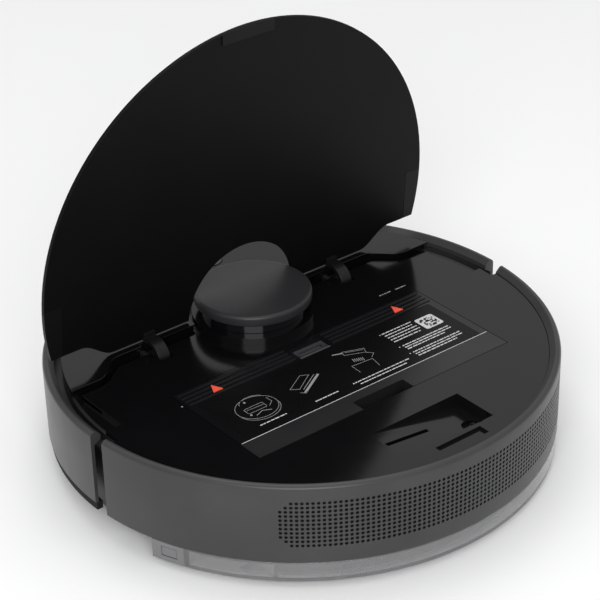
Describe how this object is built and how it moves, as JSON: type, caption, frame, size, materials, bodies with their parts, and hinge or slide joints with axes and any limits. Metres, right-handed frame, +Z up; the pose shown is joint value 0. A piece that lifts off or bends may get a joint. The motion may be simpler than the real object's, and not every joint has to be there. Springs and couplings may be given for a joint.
{
  "type": "robot vacuum cleaner",
  "caption": "Low round robot vacuum and mop cleaner with a lidar tower, hinged lid, lift-out dustbin, slide-out water tank, bumper, drive wheels and brushes.",
  "frame": {"origin": "on the floor, under the centre of the round body", "axes": "+Z up, +Y the driving direction, towards the bumper, +X to the robot's right"},
  "size_m": [0.35, 0.35, 0.2892],
  "materials": {
    "body_black": "satin moulded ABS",
    "gloss_black": "glossy piano-black ABS",
    "shell_grey": "satin dark grey ABS",
    "lid_black": "near-black satin ABS",
    "cap_grey": "satin dark grey ABS",
    "trim_grey": "satin grey ABS",
    "dark_window": "dark infrared-clear plastic",
    "clear_smoke": "smoke-tinted clear polycarbonate",
    "steel": "plain steel",
    "motor_metal": "turned metal",
    "contact_metal": "plated contact metal",
    "rubber_black": "ribbed rubber",
    "rim_grey": "grey nylon",
    "caster_white": "white nylon",
    "battery_blue": "shrink sleeve",
    "board_green": "solder-masked board",
    "brush_red": "moulded core",
    "bristle_dark": "nylon bristles",
    "bristle_light": "nylon bristles",
    "filter_white": "pleated filter paper",
    "frame_white": "white plastic",
    "cloth_blue": "microfibre cloth"
  },
  "bodies": {
    "body": {"chassis": "body_black", "tub_wall": "body_black", "top_deck": "gloss_black", "bin_bay": "body_black", "rear_shell": "shell_grey", "exhaust_grille": "shell_grey", "front_cover": "gloss_black", "hinge_brackets": "steel", "steel_pins": "steel", "lidar_base": "cap_grey", "lidar_window": "dark_window", "lidar_cap": "cap_grey", "battery_pack": "battery_blue", "battery_door": "body_black", "main_board": "board_green", "brush_housing": "body_black", "brush_motors": "body_black", "fan_housing": "body_black", "fan_motor": "motor_metal", "caster_socket": "body_black", "cliff_sensor_windows": "dark_window", "charge_contacts": "contact_metal", "underside_screws": "steel"},
    "lid": {"lid_panel": "lid_black", "lid_arms": "lid_black", "lid_trims": "lid_black"},
    "bumper": {"bumper_shell": "shell_grey", "bumper_skirt": "body_black", "bumper_window": "dark_window"},
    "dustbin": {"dustbin_tub": "gloss_black", "filter_frame": "frame_white", "hepa_filter": "filter_white"},
    "dustbin_flap": {"dustbin_cover": "gloss_black", "ribbed_strips": "trim_grey"},
    "bin_handle": {"bin_handle": "trim_grey"},
    "tank": {"water_tank": "clear_smoke", "tank_end_blocks": "trim_grey", "tank_plug": "trim_grey", "mop_plate": "body_black", "mop_cloth": "cloth_blue"},
    "left_latch": {"left_tank_latch": "trim_grey"},
    "right_latch": {"right_tank_latch": "trim_grey"},
    "power_button": {"power_button": "trim_grey"},
    "home_button": {"home_button": "trim_grey"},
    "reset_button": {"reset_button": "trim_grey"},
    "left_wheel_module": {"left_wheel_gearbox": "rim_grey"},
    "right_wheel_module": {"right_wheel_gearbox": "rim_grey"},
    "left_wheel": {"left_wheel_rim": "rim_grey", "left_tyre": "rubber_black"},
    "right_wheel": {"right_wheel_rim": "rim_grey", "right_tyre": "rubber_black"},
    "main_brush": {"main_brush_core": "brush_red", "main_brush_bristles": "bristle_dark"},
    "brush_guard": {"brush_guard": "body_black"},
    "side_brush": {"side_brush_hub": "bristle_light", "side_brush_bristles": "bristle_light"},
    "caster_swivel": {"caster_fork": "rim_grey"},
    "caster_roller": {"caster_wheel": "caster_white"},
    "lidar_turret": {"lidar_rotor": "dark_window"},
    "fan": {"fan_impeller": "rim_grey"}
  },
  "joints": [
    {"name": "lid_hinge", "type": "hinge", "parent": "body", "child": "lid", "pos_m": [0, 0.0602, 0.0675], "axis": [-1, 0, 0], "range_deg": [-85, 0]},
    {"name": "dustbin_lift", "type": "slide", "parent": "body", "child": "dustbin", "axis": [0, 0, 1], "range_m": [0, 0.06]},
    {"name": "dustbin_flap_hinge", "type": "hinge", "parent": "dustbin", "child": "dustbin_flap", "pos_m": [0, -0.0709, 0.0735], "axis": [1, 0, 0], "range_deg": [0, 95]},
    {"name": "bin_handle_hinge", "type": "hinge", "parent": "dustbin_flap", "child": "bin_handle", "pos_m": [0, -0.0144, 0.07255], "axis": [1, 0, 0], "range_deg": [0, 90]},
    {"name": "tank_slide", "type": "slide", "parent": "body", "child": "tank", "axis": [0, -1, 0], "range_m": [0, 0.13]},
    {"name": "left_latch_press", "type": "slide", "parent": "tank", "child": "left_latch", "axis": [1, 0, 0], "range_m": [0, 0.003], "stiffness_N_per_m": 300, "springref_m": -0.002},
    {"name": "right_latch_press", "type": "slide", "parent": "tank", "child": "right_latch", "axis": [-1, 0, 0], "range_m": [0, 0.003], "stiffness_N_per_m": 300, "springref_m": -0.002},
    {"name": "bumper_press", "type": "slide", "parent": "body", "child": "bumper", "axis": [0, -1, 0], "range_m": [0, 0.0035], "stiffness_N_per_m": 400, "springref_m": -0.003},
    {"name": "power_press", "type": "slide", "parent": "body", "child": "power_button", "axis": [0, 0, -1], "range_m": [0, 0.0015], "stiffness_N_per_m": 200, "springref_m": -0.002},
    {"name": "home_press", "type": "slide", "parent": "body", "child": "home_button", "axis": [0, 0, -1], "range_m": [0, 0.0015], "stiffness_N_per_m": 200, "springref_m": -0.002},
    {"name": "reset_press", "type": "slide", "parent": "body", "child": "reset_button", "axis": [0, 0, -1], "range_m": [0, 0.001], "stiffness_N_per_m": 100, "springref_m": -0.002},
    {"name": "left_suspension", "type": "hinge", "parent": "body", "child": "left_wheel_module", "pos_m": [-0.0995, -0.041, 0.034], "axis": [-1, 0, 0], "range_deg": [0, 20], "stiffness_Nm_per_rad": 0.3, "springref_deg": 45.84},
    {"name": "right_suspension", "type": "hinge", "parent": "body", "child": "right_wheel_module", "pos_m": [0.0995, -0.041, 0.034], "axis": [-1, 0, 0], "range_deg": [0, 20], "stiffness_Nm_per_rad": 0.3, "springref_deg": 45.84},
    {"name": "left_wheel_spin", "type": "hinge", "parent": "left_wheel_module", "child": "left_wheel", "pos_m": [-0.12, 0, 0.032], "axis": [1, 0, 0], "continuous": true},
    {"name": "right_wheel_spin", "type": "hinge", "parent": "right_wheel_module", "child": "right_wheel", "pos_m": [0.12, 0, 0.032], "axis": [1, 0, 0], "continuous": true},
    {"name": "main_brush_spin", "type": "hinge", "parent": "body", "child": "main_brush", "pos_m": [0, 0.03, 0.021], "axis": [1, 0, 0], "continuous": true},
    {"name": "brush_guard_drop", "type": "slide", "parent": "body", "child": "brush_guard", "axis": [0, 0, -1], "range_m": [0, 0.02]},
    {"name": "side_brush_spin", "type": "hinge", "parent": "body", "child": "side_brush", "pos_m": [0.1, 0.105, 0.008], "axis": [0, 0, 1], "continuous": true},
    {"name": "caster_swivel_turn", "type": "hinge", "parent": "body", "child": "caster_swivel", "pos_m": [0, 0.128, 0.032], "axis": [0, 0, 1], "continuous": true},
    {"name": "caster_roll", "type": "hinge", "parent": "caster_swivel", "child": "caster_roller", "pos_m": [0, 0.122, 0.015], "axis": [1, 0, 0], "continuous": true},
    {"name": "lidar_spin", "type": "hinge", "parent": "body", "child": "lidar_turret", "pos_m": [0, 0.0528, 0.082], "axis": [0, 0, 1], "continuous": true},
    {"name": "fan_spin", "type": "hinge", "parent": "body", "child": "fan", "pos_m": [0, -0.127, 0.044], "axis": [0, 0, 1], "continuous": true}
  ]
}
